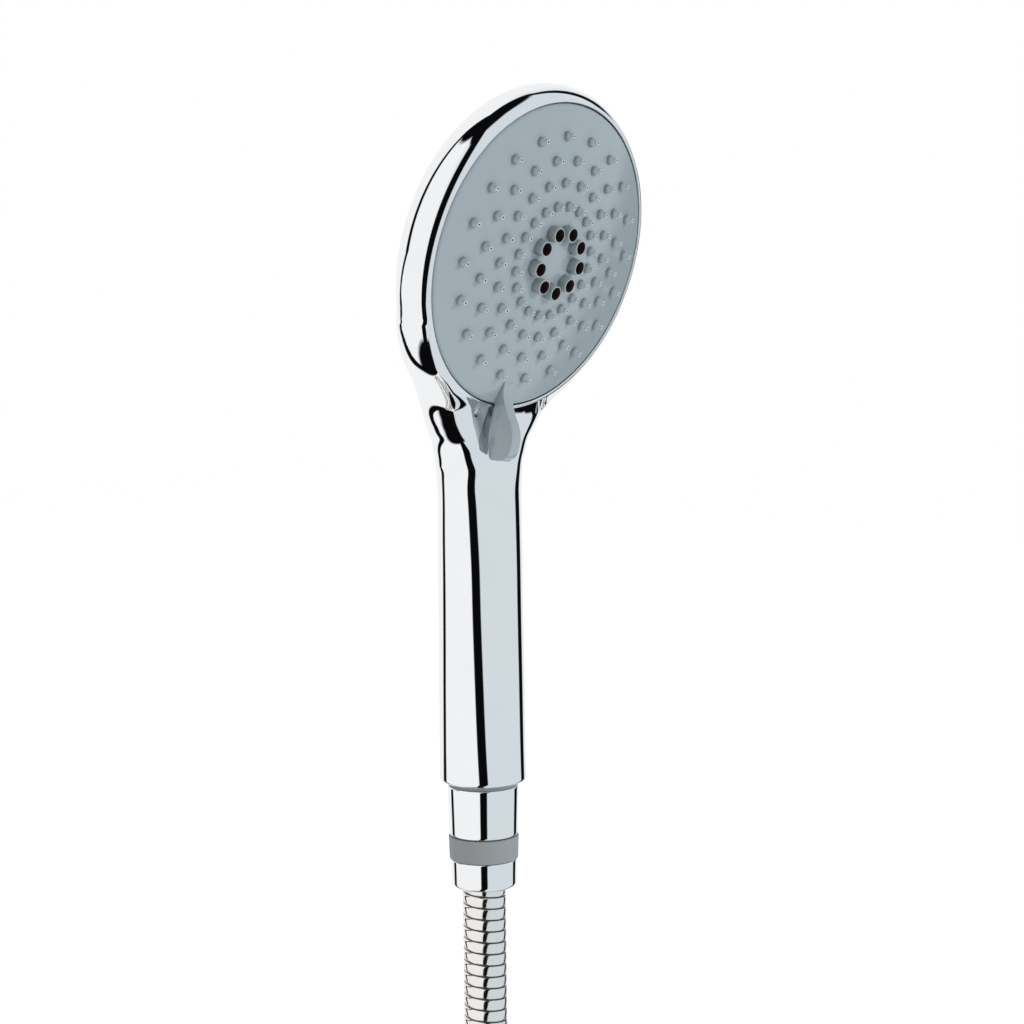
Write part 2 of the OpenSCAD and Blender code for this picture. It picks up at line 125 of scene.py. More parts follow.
def slab_share(z):
    """How far the section has gone from an oval, 0, to a slab with round edges, 1"""
    return ramp(z, slab_from, slab_to)


def handle_field(points):
    """Distance from the handle, round at its foot, and the neck, which widens and flattens"""
    x, y, z = points.T
    a, b = smooth_rows(handle_rows, z).T
    q = np.sqrt((x / a) ** 2 + (y / b) ** 2) + 1e-6
    oval = q * (q - 1) / (np.hypot(x / a**2, y / b**2) + 1e-6)
    reach, middle, thick = smooth_rows(neck_rows, z).T
    lean = (smooth_rows(neck_rows, z + 1)[:, 0] - smooth_rows(neck_rows, z - 1)[:, 0]) / 2
    aside = np.clip(np.abs(x) - reach, 0, None) / np.hypot(1, lean)
    slab = np.hypot(aside, y - middle) - thick
    flat = slab_share(z)
    side = oval * (1 - flat) + slab * flat
    return np.maximum(np.maximum(side, z - neck_rows[-1, 0]), foot_z - 1 - z)


def shell_field(points):
    head, handle = head_field(points), handle_field(points)
    near = np.clip(neck_blend - np.abs(head - handle), 0, None) / neck_blend
    return np.minimum(head, handle) - near**2 * neck_blend / 4


def slope_of(field, points, step=0.15):
    """Direction in which a field grows, and how fast"""
    slope = np.stack([field(points + d) - field(points - d) for d in np.eye(3) * step], axis=1)
    slope /= 2 * step
    size = np.linalg.norm(slope, axis=1, keepdims=True) + 1e-9
    return slope / size, size


def to_surface(field, points, rounds=4):
    """Points moved onto the surface where the field is zero"""
    for _ in range(rounds):
        way, size = slope_of(field, points)
        points = points - way * np.clip(field(points)[:, None] / size, -1.5, 1.5)
    return points


def held(profile, reach=0.12):
    """A profile with a point close to each end of its long sides, so that they shade straight"""
    made = []
    for p, q in zip(profile, [*profile[1:], profile[0]]):
        made.append(p)
        length = math.dist(p, q)
        if length > 5 * reach:
            ends = (reach / length, 1 - reach / length)
            made += [tuple(a + (b - a) * t for a, b in zip(p, q)) for t in ends]
    return made


def lathe(profile, steps=96):
    """Points and faces of a profile of radius and height, turned round Z and closed on itself"""
    turn = np.arange(steps) * 2 * np.pi / steps
    r, h = np.array(profile, float).T
    points = np.stack([np.outer(np.cos(turn), r), np.outer(np.sin(turn), r),
                       np.tile(h, (steps, 1))], axis=2).reshape(-1, 3)
    n = len(profile)
    faces = [(k * n + j, (k + 1) % steps * n + j, (k + 1) % steps * n + (j + 1) % n, k * n + (j + 1) % n)
             for k in range(steps) for j in range(n)]
    return points, faces


def arc(centre, r, start, end, steps=6):
    """Points of an arc, with angles in degrees"""
    return [(centre[0] + r * math.cos(math.radians(start + (end - start) * i / steps)),
             centre[1] + r * math.sin(math.radians(start + (end - start) * i / steps)))
            for i in range(steps + 1)]


def closed_mesh(name, points, faces, sharp=35):
    """A mesh in metres, its doubled points merged, its faces outwards and smooth"""
    mesh = bpy.data.meshes.new(name)
    mesh.from_pydata((np.asarray(points, float) * MM).tolist(), [], faces)
    shape = bmesh.new()
    shape.from_mesh(mesh)
    bmesh.ops.remove_doubles(shape, verts=shape.verts, dist=1e-7)
    bmesh.ops.dissolve_degenerate(shape, edges=shape.edges, dist=1e-8)
    bmesh.ops.recalc_face_normals(shape, faces=shape.faces)
    shape.to_mesh(mesh)
    shape.free()
    mesh.shade_smooth()
    mesh.set_sharp_from_angle(angle=math.radians(sharp))
    return mesh


def show(name, mesh):
    """An object for a mesh, in the scene"""
    made = bpy.data.objects.new(name, mesh)
    bpy.context.scene.collection.objects.link(made)
    return made


def settle(made):
    """Turn an object with modifiers into a plain mesh"""
    shape = made.evaluated_get(bpy.context.evaluated_depsgraph_get())
    mesh = bpy.data.meshes.new_from_object(shape)
    made.modifiers.clear()
    made.data = mesh
    return made


def rough_shell(sides=48, voxel=1.15):
    """The head and the handle as two plain closed shapes in one mesh, joined by a remesh"""
    bowl = [(0, edge_depth + edge_r)] + arc((edge_ring_r, edge_depth), edge_r, 90, -60, 12)
    bowl += arc((0, back_depth), back_r, -61, -90, 10)
    points, faces = lathe(bowl, 64)
    points = points @ FACE_TURN.T + FACE_CENTRE
    heights = np.concatenate([[foot_z - 1], np.arange(20, neck_rows[-1, 0], 4)])
    a, b = smooth_rows(handle_rows, heights).T
    reach, middle, thick = smooth_rows(neck_rows, heights).T
    turn = np.arange(sides) * 2 * np.pi / sides
    flat = slab_share(heights)[:, None]
    wide = np.outer(thick, np.cos(turn)) + np.outer(reach, np.clip(3 * np.cos(turn), -1, 1))
    deep = np.outer(thick, np.sin(turn)) + middle[:, None]
    rows = np.stack([wide * flat + np.outer(a, np.cos(turn)) * (1 - flat),
                     deep * flat + np.outer(b, np.sin(turn)) * (1 - flat),
                     np.tile(heights[:, None], sides)], axis=2).reshape(-1, 3)
    start, last = len(points), len(points) + sides * (len(heights) - 1)
    for i in range(len(heights) - 1):
        for j in range(sides):
            low = start + sides * i
            faces.append((low + j, low + (j + 1) % sides,
                          low + sides + (j + 1) % sides, low + sides + j))
    faces.append(tuple(start + sides - 1 - j for j in range(sides)))
    faces.append(tuple(last + j for j in range(sides)))
    made = show("rough_shell", closed_mesh("rough_shell", np.concatenate([points, rows]), faces))
    remesh = made.modifiers.new("Join", "REMESH")
    remesh.mode = "VOXEL"
    remesh.voxel_size = voxel * MM
    return settle(made)


def blended(points):
    """Where the neck flows into the head, 1, and where the surface keeps its own form, 0"""
    depth = ((points - FACE_CENTRE) @ FACE_TURN)[:, 2]
    z = points[:, 2]
    return ramp(z, *blend_low) * (1 - ramp(z, *blend_high)) * ramp(-depth, *blend_depth)


def flow(values, edges, share, rounds, push=0.5, pull=-0.52):
    """Values on a mesh evened out along its edges, without shrinking the shape"""
    first, second = edges.T
    count = np.bincount(edges.ravel(), minlength=len(values))[:, None] + 1e-9
    for _ in range(rounds):
        for factor in (push, pull):
            total = np.zeros_like(values)
            for k in range(values.shape[1]):
                total[:, k] = (np.bincount(first, values[second, k], len(values))
                               + np.bincount(second, values[first, k], len(values)))
            values = values + factor * share[:, None] * (total / count - values)
    return values


def open_ends(shape):
    """Cut the closed skin in front of the lip and at the foot, and smooth it on its surface"""
    for _ in range(3):
        bmesh.ops.smooth_vert(shape, verts=shape.verts, factor=0.5, use_axis_x=True,
                              use_axis_y=True, use_axis_z=True)
        points = to_surface(shell_field, np.array([v.co for v in shape.verts]) / MM)
        for vertex, point in zip(shape.verts, points * MM):
            vertex.co = point
    shape.verts.index_update()
    edges = np.array([(e.verts[0].index, e.verts[1].index) for e in shape.edges])
    for vertex, point in zip(shape.verts, flow(points, edges, blended(points), blend_rounds) * MM):
        vertex.co = point
    to_face = face_place.inverted()

    def in_front(face):
        x, y, w = to_face @ face.calc_center_median() / MM
        return math.hypot(x, y) < edge_ring_r + edge_r and w > edge_depth / 2

    def at_foot(face):
        return face.calc_center_median().z < (foot_cut + foot_reach) * MM

    cuts = [(in_front, face_place @ Vector((0, 0, lip_cut * MM)), face_axis),
            (at_foot, Vector((0, 0, foot_cut * MM)), Vector((0, 0, -1)))]
    for wanted, place, way in cuts:
        faces = [f for f in shape.faces if wanted(f)]
        geometry = {*faces, *(e for f in faces for e in f.edges), *(v for f in faces for v in f.verts)}
        bmesh.ops.bisect_plane(shape, geom=list(geometry), dist=1e-6, plane_co=place,
                               plane_no=way, clear_outer=True)


lip_cut, foot_cut, foot_reach = -0.6, 2.8, 4
blend_low, blend_high, blend_depth, blend_rounds = (104, 116), (150, 170), (1, 4), 90
way_rounds, way_pull = 6, 0.3
rough = rough_shell()
skin = bmesh.new()
skin.from_mesh(rough.data)
open_ends(skin)
skin.verts.index_update()
skin.normal_update()
outside_edges = np.array([(e.verts[0].index, e.verts[1].index) for e in skin.edges])
met = flow(np.array([v.normal for v in skin.verts]), outside_edges, np.ones(len(skin.verts)),
           way_rounds, pull=way_pull)
outside = np.array([v.co for v in skin.verts]) / MM
outside_faces = [[v.index for v in f.verts] for f in skin.faces]
rim = sorted({v.index for e in skin.edges if e.is_boundary for v in e.verts})
skin.free()
bpy.data.objects.remove(rough)

share = blended(outside)[:, None]
way_out = slope_of(shell_field, outside)[0] * (1 - share) + met * share
way_out /= np.linalg.norm(way_out, axis=1, keepdims=True)
inside = outside - way_out * shell_wall
low_part = outside[:, 2] < bore_end
spread = np.hypot(inside[:, 0], inside[:, 1]) + 1e-9
inside[low_part, :2] *= (bore_r / spread)[low_part, None]

shell_points, shell_faces = [outside, inside], list(outside_faces)
shell_faces += [[len(outside) + i for i in reversed(f)] for f in outside_faces]
shell_ways = [way_out, -way_out]
start_angle = math.degrees(math.asin((lip_cut - edge_depth) / edge_r))
lip = arc((edge_ring_r, edge_depth), edge_r, start_angle, 53.1, 2)[1:]
lip += arc((49.85, -0.3), 0.4, 40, 180, 5) + [(49.45, -0.5), (49.45, -1.2), (49.45, -1.9)]
foot = [(14.47, 2.45), (14.38, 2.15), (14.2, 1.88), (13.9, 1.68), (13.6, 1.6), (12, 1.6),
        (11.7, 1.75), (bore_r, 2.1)]
local_rim = (outside[rim] - FACE_CENTRE) @ FACE_TURN
for at_head, profile in ((True, lip), (False, foot)):
    flat = local_rim if at_head else outside[rim]
    chosen = [k for k in range(len(rim)) if (outside[rim[k]][2] > neck_z) == at_head]
    angle = {k: math.atan2(flat[k][1], flat[k][0]) for k in chosen}
    chosen.sort(key=angle.get)
    loops = [[rim[k] for k in chosen]]
    for r, h in profile:
        first = sum(len(p) for p in shell_points)
        ring = np.array([[r * math.cos(angle[k]), r * math.sin(angle[k]), h] for k in chosen])
        shell_points.append(ring @ FACE_TURN.T + FACE_CENTRE if at_head else ring)
        shell_ways.append(np.zeros_like(ring))
        loops.append(list(range(first, first + len(chosen))))
    loops.append([len(outside) + rim[k] for k in chosen])
    n = len(chosen)
    for low, high in zip(loops, loops[1:]):
        for k in range(n):
            face = (low[k], low[(k + 1) % n], high[(k + 1) % n], high[k])
            shell_faces.append(face if at_head else face[::-1])

shell_mesh = bpy.data.meshes.new("chromed_shell")
shell_mesh.from_pydata((np.concatenate(shell_points) * MM).tolist(), [], shell_faces)
shell_mesh.shade_smooth()
shell_ways = np.concatenate(shell_ways)
given = np.array([v.vector for v in shell_mesh.vertex_normals])
exact = np.linalg.norm(shell_ways, axis=1) > 0.5
given[exact] = shell_ways[exact]
shell_mesh.normals_split_custom_set_from_vertices(given.tolist())
shell = show("chromed_shell", shell_mesh)


class Wire:
    """A socket of a node tree. Operators add Math nodes, and node() adds any other node."""

    def __init__(self, tree, socket=None):
        self.tree, self.socket = tree, socket

    def node(self, kind, settings=None, values=None, out=0):
        made = self.tree.nodes.new(kind)
        for key, value in (settings or {}).items():
            if key == "stops":
                ramp = made.color_ramp.elements
                while len(ramp) < len(value):
                    ramp.new(1.0)
                for stop, (place, colour) in zip(ramp, value):
                    stop.position, stop.color = place, (*colour, 1)
            else:
                setattr(made, key, value)
        for key, value in (values or {}).items():
            if isinstance(value, Wire):
                self.tree.links.new(value.socket, made.inputs[key])
            else:
                made.inputs[key].default_value = value
        return Wire(self.tree, made.outputs[out] if made.outputs else None)

    def math(self, operation, first, second=0.0):
        return self.node("ShaderNodeMath", {"operation": operation}, {0: first, 1: second})

    def __add__(self, other):
        return self.math("ADD", self, other)

    def __sub__(self, other):
        return self.math("SUBTRACT", self, other)

    def __rsub__(self, other):
        return self.math("SUBTRACT", other, self)

    def __mul__(self, other):
        return self.math("MULTIPLY", self, other)

    __radd__, __rmul__ = __add__, __mul__


def material(name, surface):
    """A material whose nodes the surface function lays out"""
    made = bpy.data.materials.new(name)
    made.use_nodes = True
    made.node_tree.nodes.clear()
    tree = Wire(made.node_tree)
    tree.node("ShaderNodeOutputMaterial", values={"Surface": surface(tree)})
    return made


def noise(tree, scale, detail=3.0, stretch=(1, 1, 1)):
    """Noise fixed to the piece, about its middle at 0.5; scale counts blotches in a metre"""
    place = tree.node("ShaderNodeTexCoord", out="Object")
    place = tree.node("ShaderNodeMapping", values={"Vector": place, "Scale": stretch})
    return tree.node("ShaderNodeTexNoise", values={"Vector": place, "Scale": scale, "Detail": detail})


def bump(tree, height, strength, distance):
    return tree.node("ShaderNodeBump", values={"Height": height, "Strength": strength,
                                               "Distance": distance})


def plated(colour, rough, ripple):
    """Bright plating: a clean mirror with faint water marks and a trace of ripple"""
    def surface(tree):
        marks = noise(tree, 70, 5)
        fine = noise(tree, 900, 2)
        smear = tree.node("ShaderNodeValToRGB", {"stops": [(0.5, (0, 0, 0)), (0.72, (1, 1, 1))]},
                          {"Fac": marks})
        return tree.node("ShaderNodeBsdfPrincipled", values={
            "Base Color": tree.node("ShaderNodeMix", {"data_type": "RGBA"}, {
                0: smear * 0.25, 6: (*colour, 1), 7: (*[c * 0.93 for c in colour], 1)}, 2),
            "Metallic": 1.0, "Roughness": rough + 0.035 * smear + 0.01 * fine,
            "Normal": bump(tree, noise(tree, 45, 1), ripple, 0.0004)})
    return surface


shell_chrome = material("bright_chrome_on_plastic", plated((0.93, 0.945, 0.96), 0.015, 0.02))
shell.data.materials.append(shell_chrome)
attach(shell, "handset")
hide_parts("outer_shell")

# ---- Spray plate ----
# The domed front of the head, moulded in satin blue-grey ABS with a rounded edge and a skirt that
# turns inside the chromed lip. Nine wide holes round its middle let the massage nozzles through.
rest_turn = math.radians(-9)
turned_face = face_place @ Matrix.Rotation(rest_turn, 4, "Z")
face_r, face_rise, plate_t = 49.15, 6.4, 1.8
dome_r = (face_r**2 + face_rise**2) / (2 * face_rise)
massage_count, massage_ring_r, massage_start = 9, 9.6, 11


def dome(r):
    """Height of the spray plate's dome above the lip, at a radius"""
    return math.sqrt(dome_r**2 - r**2) - dome_r + face_rise


def cap(drop, start, end, steps):
    rs = [start + (end - start) * i / steps for i in range(steps + 1)]
    return [(r, dome(r) - drop) for r in rs]


def moulded(colour, rough, grain, speckle=0.03, gloss=0.5):
    """Moulded plastic: a fine even grain, with slight clouds in its colour"""
    def surface(tree):
        clouds, skin_grain = noise(tree, 38, 4), noise(tree, 3800, 2)
        shade = tree.node("ShaderNodeMix", {"data_type": "RGBA"}, {
            0: clouds, 6: (*[c * (1 - speckle) for c in colour], 1),
            7: (*[c * (1 + speckle) for c in colour], 1)}, 2)
        return tree.node("ShaderNodeBsdfPrincipled", values={
            "Base Color": shade, "Roughness": rough + 0.08 * clouds, "Specular IOR Level": gloss,
            "Normal": bump(tree, skin_grain, grain, 0.00006)})
    return surface


plate_profile = cap(0, 0, 48.3, 28) + arc((48.3, -0.82), 0.85, 75, 0, 5)
plate_profile += [(face_r, -9.2), (47.1, -9.2), (47.1, dome(46.6) - plate_t - 0.6)]
plate_profile += cap(plate_t, 46.6, 0, 12)
plate = show("spray_plate_front", closed_mesh("spray_plate_front", *lathe(held(plate_profile), 160)))
drill_points, drill_faces = [], []
for i in range(massage_count):
    angle = math.radians(90 - massage_start - 360 / massage_count * i)
    points, faces = lathe([(0, 2), (2.6, 2), (2.6, 8), (0, 8)], 32)
    drill_faces += [[len(points) * i + v for v in f] for f in faces]
    drill_points.append(points + [massage_ring_r * math.cos(angle), massage_ring_r * math.sin(angle), 0])
drill = show("drill", closed_mesh("drill", np.concatenate(drill_points), drill_faces))
cut = plate.modifiers.new("Holes", "BOOLEAN")
cut.object, cut.operation, cut.solver = drill, "DIFFERENCE", "EXACT"
settle(plate)
bpy.data.objects.remove(drill)
plate.data.transform(turned_face)
face_grey = material("satin_grey_plastic", moulded((0.25, 0.3, 0.325), 0.1, 0.06, gloss=1.0))
plate.data.materials.clear()
plate.data.materials.append(face_grey)
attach(plate, "spray_head")
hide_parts("spray_plate")

# ---- Nozzle mat ----
# Eighty soft silicone nozzles in four rings stand on one mat behind the plate and come through
# it. Each is a low bump with a narrow tip and a fine bore, square to the dome.
ring_count = 20
nozzle_rings = ((39.35, 0.5), (32.1, 0.0), (25.0, 0.5), (17.8, 0.0))
nozzle_h, tip_r, nozzle_bore_r = 3.0, 0.78, 0.27
nozzle_outline = [(0, 2.4), (nozzle_bore_r, 2.4), (nozzle_bore_r, 2.94), (0.33, nozzle_h),
                  (0.62, nozzle_h), (tip_r, 2.84), (0.83, 2.4), (0.88, 2.0), (1.0, 1.7), (1.2, 1.42),
                  (1.4, 1.1), (1.52, 0.7), (1.56, 0.3), (1.58, -0.3), (0, -0.3)]


def with_bore_shade(mesh, r, low, foot_h, foot_shade):
    """Mark the points inside a bore fully, and the foot a little, so that the material can darken them
    as painted shade in the bore and at the foot
    """
    mark = mesh.attributes.new("bore", "FLOAT", "POINT")
    for vertex, value in zip(mesh.vertices, mark.data):
        x, y, z = (c / MM for c in vertex.co)
        # painted shade at the foot, strongest at its base and gone by foot_h
        shade = foot_shade * max(0.0, 1 - max(z, 0) / foot_h)
        value.value = 1.0 if math.hypot(x, y) < r * 1.05 and z > low else shade
    return mesh


def ring_tree():
    """Geometry nodes that add one ring of a nozzle to a piece, square to the dome"""
    tree = bpy.data.node_groups.new("Ring of nozzles", "GeometryNodeTree")
    face = tree.interface
    face.new_socket("Geometry", in_out="INPUT", socket_type="NodeSocketGeometry")
    face.new_socket("Geometry", in_out="OUTPUT", socket_type="NodeSocketGeometry")
    for label, kind in (("Nozzle", "Object"), ("Count", "Int"), ("Ring Radius", "Float"),
                        ("Start Angle", "Float"), ("Dome Radius", "Float"), ("Dome Rise", "Float"),
                        ("Material", "Material")):
        face.new_socket(label, in_out="INPUT", socket_type=f"NodeSocket{kind}")
    wire = Wire(tree)
    given = tree.nodes.new("NodeGroupInput")
    inputs = {s.name: Wire(tree, s) for s in given.outputs}
    circle = wire.node("GeometryNodeMeshCircle", values={
        "Vertices": inputs["Count"], "Radius": inputs["Ring Radius"]})
    turn = wire.node("ShaderNodeCombineXYZ", values={"Z": inputs["Start Angle"]})
    ring = wire.node("GeometryNodeTransform", values={"Geometry": circle, "Rotation": turn})
    radius, flat = inputs["Dome Radius"], inputs["Ring Radius"]
    reach = wire.math("SQRT", radius * radius - flat * flat)
    lift = wire.node("ShaderNodeCombineXYZ", values={"Z": reach - radius + inputs["Dome Rise"]})
    place = wire.node("GeometryNodeInputPosition")
    ring = wire.node("GeometryNodeSetPosition", values={"Geometry": ring, "Offset": lift})
    centre = wire.node("ShaderNodeCombineXYZ", values={"Z": radius - inputs["Dome Rise"]})
    outward = wire.node("ShaderNodeVectorMath", {"operation": "ADD"}, {0: place, 1: centre})
    turn = wire.node("FunctionNodeAlignRotationToVector", {"axis": "Z"}, {"Vector": outward})
    nozzle = wire.node("GeometryNodeObjectInfo", values={"Object": inputs["Nozzle"]}, out="Geometry")
    placed = wire.node("GeometryNodeInstanceOnPoints", values={
        "Points": ring, "Instance": nozzle, "Rotation": turn})
    joined = wire.node("GeometryNodeJoinGeometry")
    tree.links.new(inputs["Geometry"].socket, joined.socket.node.inputs[0])
    tree.links.new(placed.socket, joined.socket.node.inputs[0])
    solid = wire.node("GeometryNodeRealizeInstances", values={"Geometry": joined})
    coloured = wire.node("GeometryNodeSetMaterial", values={
        "Geometry": solid, "Material": inputs["Material"]})
    result = tree.nodes.new("NodeGroupOutput")
    tree.links.new(coloured.socket, result.inputs[0])
    return tree


def add_ring(made, tree, **values):
    """One more ring of nozzles on a piece, with the tree's inputs given by name"""
    ring = made.modifiers.new("Ring", "NODES")
    ring.node_group = tree
    names = {s.name: s.identifier for s in tree.interface.items_tree if s.in_out == "INPUT"}
    for label, value in values.items():
        ring[names[label.replace("_", " ")]] = value


def silicone(tree):
    """Soft silicone, a little paler than the plate, with painted shade near black in its bore and a
    little at its foot
    """
    clouds = noise(tree, 300, 2)
    bore = tree.node("ShaderNodeAttribute", {"attribute_name": "bore"}, out="Fac")
    soft = tree.node("ShaderNodeMix", {"data_type": "RGBA"}, {
        0: clouds, 6: (0.36, 0.43, 0.455, 1), 7: (0.4, 0.47, 0.495, 1)}, 2)
    # painted shade: the bore mark turns the silicone near black in the bore and darker towards the foot
    shade = tree.node("ShaderNodeMix", {"data_type": "RGBA"}, {
        0: bore, 6: soft, 7: (0.025, 0.012, 0.01, 1)}, 2)
    return tree.node("ShaderNodeBsdfPrincipled", values={
        "Base Color": shade, "Roughness": 0.42 + 0.1 * clouds,
        "Normal": bump(tree, noise(tree, 2500, 2), 0.15, 0.00005)})


nozzle_ring = ring_tree()
nozzle_grey = material("soft_grey_silicone", silicone)
small_mesh = closed_mesh("small_nozzle", *lathe(nozzle_outline, 16), sharp=50)
# painted shade marks: all of the bore, and up to 0.55 at the foot, gone by 2.2 mm up
small_nozzle = show("small_nozzle", with_bore_shade(small_mesh, nozzle_bore_r, 2, 2.2, 0.55))
mat_back = plate_t + 1.35
mat_profile = cap(plate_t + 0.05, 14.3, 46.4, 14) + cap(mat_back, 46.4, 14.3, 14)
mat = show("nozzle_mat_soft", closed_mesh("nozzle_mat_soft", *lathe(mat_profile, 96)))
for ring_r, start in nozzle_rings:
    add_ring(mat, nozzle_ring, Nozzle=small_nozzle, Count=ring_count, Ring_Radius=ring_r * MM,
             Start_Angle=math.radians(90 - 360 / ring_count * start), Dome_Radius=dome_r * MM,
             Dome_Rise=face_rise * MM, Material=nozzle_grey)
settle(mat)
mat.data.transform(turned_face)
bpy.data.objects.remove(small_nozzle)
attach(mat, "spray_head")
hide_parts("nozzle_mat")

# ---- Massage nozzles ----
# Nine wide tubes stand on one disc behind the plate. They are moulded in the plate's own satin
# grey, with thin round mouths, and painted shade makes the water space in them look nearly black.
tube_r, tube_bore_r, tube_h = 2.5, 2.0, 3.1
tube_outline = [(0, 0.2), (tube_bore_r, 0.2), (tube_bore_r, tube_h - 0.15)]
tube_outline += arc((2.15, tube_h - 0.15), 0.15, 180, 90, 3) + arc((2.3, tube_h - 0.2), 0.2, 90, 0, 3)
tube_outline += [(2.5, 1), (tube_r + 0.05, -0.4), (tube_r + 0.05, -2), (0, -2)]


def shaded_bore_plastic(colour):
    """The plate's plastic, with painted shade near black inside the tubes and a little at their foot"""
    def surface(tree):
        bore = tree.node("ShaderNodeAttribute", {"attribute_name": "bore"}, out="Fac")
        clouds = noise(tree, 60, 3)
        # painted shade: the bore mark turns the plastic near black in the tubes and darker towards their
        # foot
        shade = tree.node("ShaderNodeMix", {"data_type": "RGBA"}, {
            0: bore, 6: (*colour, 1), 7: (0.03, 0.016, 0.014, 1)}, 2)
        return tree.node("ShaderNodeBsdfPrincipled", values={
            "Base Color": shade, "Roughness": 0.26 + 0.12 * clouds,
            "Normal": bump(tree, noise(tree, 3800, 2), 0.12, 0.00006)})
    return surface


tube_mesh = closed_mesh("massage_nozzle", *lathe(tube_outline, 32))
# painted shade marks: all of the bore, and up to 0.3 at the foot, gone by 2.4 mm up
wide_nozzle = show("wide_nozzle", with_bore_shade(tube_mesh, tube_bore_r, -1, 2.4, 0.3))
disc_profile = [(0, 2.4), (14, 2.4), (14, 4), (0, 4)]
disc = show("massage_insert", closed_mesh("massage_insert", *lathe(disc_profile, 64)))
tube_grey = material("satin_grey_tubes", shaded_bore_plastic((0.27, 0.325, 0.34)))
add_ring(disc, nozzle_ring, Nozzle=wide_nozzle, Count=massage_count, Ring_Radius=massage_ring_r * MM,
         Start_Angle=math.radians(90 - massage_start), Dome_Radius=dome_r * MM,
         Dome_Rise=face_rise * MM, Material=tube_grey)
settle(disc)
disc.data.transform(turned_face)
bpy.data.objects.remove(wide_nozzle)
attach(disc, "spray_head")
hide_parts("massage_nozzles")

# ---- Selector lever ----
# A fin moulded in the plate's satin grey, pinned to its edge and bent down over the rim. A thumb
# pushes it sideways to turn the plate to the next spray.
lever_t = 4.5
# outline of the fin: distance from the plate's middle, height above the lip
lever_outline = [(41.2, 1.1), (41.3, 2.2), (44.5, 2.7), (47, 4), (50.8, 6.7), (53.6, 9.3),
                 (56.4, 10.9), (60, 11.7), (63.2, 11.3), (65.2, 9.4), (66.1, 6.6), (66, 4.4),
                 (62.8, 2.8), (58.6, 1.5), (54, 0.7), (49.1, 0.5), (48.6, -0.6)]


def smooth_line(points, steps, closed=False):
    """A Catmull-Rom curve through points, with this many steps between two of them"""
    points = np.array(points, float)
    if closed:
        line = np.concatenate([points[-1:], points, points[:2]])
    else:
        line = np.concatenate([2 * points[:1] - points[1:2], points, 2 * points[-1:] - points[-2:-1]])
    t = (np.arange(steps) / steps)[:, None]
    made = []
    for p, q, r, s in zip(line, line[1:], line[2:], line[3:]):
        made.append(q + 0.5 * t * (r - p + t * (2 * p - 5 * q + 4 * r - s + t * (3 * (q - r) + s - p))))
    return np.concatenate(made if closed else made + [points[-1:]])


outline = smooth_line(lever_outline, 5, closed=True)
n = len(outline)
sides = [[side * lever_t / 2, -d, h] for side in (-1, 1) for d, h in outline]
lever_faces = [tuple(range(n)), tuple(range(2 * n - 1, n - 1, -1))]
lever_faces += [(i, n + i, n + (i + 1) % n, (i + 1) % n) for i in range(n)]
lever = show("thumb_lever", closed_mesh("thumb_lever", sides, lever_faces))
rounding = lever.modifiers.new("Rounded edges", "BEVEL")
rounding.width, rounding.segments, rounding.limit_method = 0.55 * MM, 3, "ANGLE"
rounding.angle_limit = math.radians(50)
settle(lever)
lever.data.shade_smooth()
lever.data.set_sharp_from_angle(angle=math.radians(40))
lever.data.transform(turned_face)
lever.data.materials.append(face_grey)
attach(lever, "spray_head")
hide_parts("selector_lever")

# ---- Conical nut, bearing ring and sleeve ----
# The brass hose nut is turned, chromed and polished, and its cone sits in the wall holder. A matt
# grey plastic ring is the bearing under it, and the chromed sleeve below turns with the hose.
nut_h, ring_h, sleeve_end = 16.9, 7.9, -34.5
ring_low = -nut_h - ring_h
nut_profile = [(10.45, -0.4), (10.9, -0.02), (11.55, -0.02)] + arc((11.6, -0.4), 0.36, 80, 0, 4)
nut_profile += [(11.62, -12)] + arc((10.72, -nut_h + 0.85), 0.8, 0, -80, 6)
nut_profile += [(9.52, -nut_h), (9.52, ring_low), (6.08, ring_low), (6.08, -15.95), (10.45, -15.95)]
ring_profile = [(9.56, -nut_h - 0.03)] + arc((11.42, -nut_h - 0.3), 0.25, 90, 0, 3)
ring_profile += arc((11.25, ring_low + 0.25), 0.22, 0, -90, 3) + [(9.56, ring_low)]
sleeve_top = ring_low - 0.15
sleeve_profile = [(6.06, sleeve_top)] + arc((10.85, sleeve_top - 0.3), 0.28, 90, 0, 3)
sleeve_profile += [(11.0, -30)] + arc((9.45, -33), 1.5, 0, -90, 8)
sleeve_profile += [(7.7, sleeve_end), (7.55, sleeve_end + 0.2), (7.55, -33), (9, -33), (9, -27),
                   (6.06, -27)]


def turned_metal(tree):
    """Chromed brass: a clean mirror that keeps a trace of fine turning rings"""
    place = tree.node("ShaderNodeTexCoord", out="Object")
    rings = tree.node("ShaderNodeTexNoise", values={
        "Scale": 1.0, "Detail": 2.0,
        "Vector": tree.node("ShaderNodeMapping", values={"Vector": place, "Scale": (40, 40, 4000)})})
    marks = noise(tree, 90, 4)
    return tree.node("ShaderNodeBsdfPrincipled", values={
        "Base Color": (0.93, 0.945, 0.96, 1), "Metallic": 1.0, "Roughness": 0.02 + 0.05 * marks,
        "Normal": bump(tree, rings, 0.05, 0.00003)})


nut_chrome = material("bright_chrome_on_brass", turned_metal)
ring_grey = material("matt_grey_ring", moulded((0.24, 0.255, 0.265), 0.5, 0.3, gloss=0.3))
for name, profile, node, body, look, slot in (
        ("conical_nut", nut_profile, "cone_nut", "handset", nut_chrome, "chrome_brass"),
        ("bearing_ring", ring_profile, "swivel_ring", "handset", ring_grey, "ring_grey"),
        ("chromed_sleeve", sleeve_profile, "hose_sleeve", "hose_body", nut_chrome, "chrome_brass")):
    made = show(name, closed_mesh(name, *lathe(held(profile), 128)))
    made.data.materials.append(look)
    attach(made, body)
    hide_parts(node)

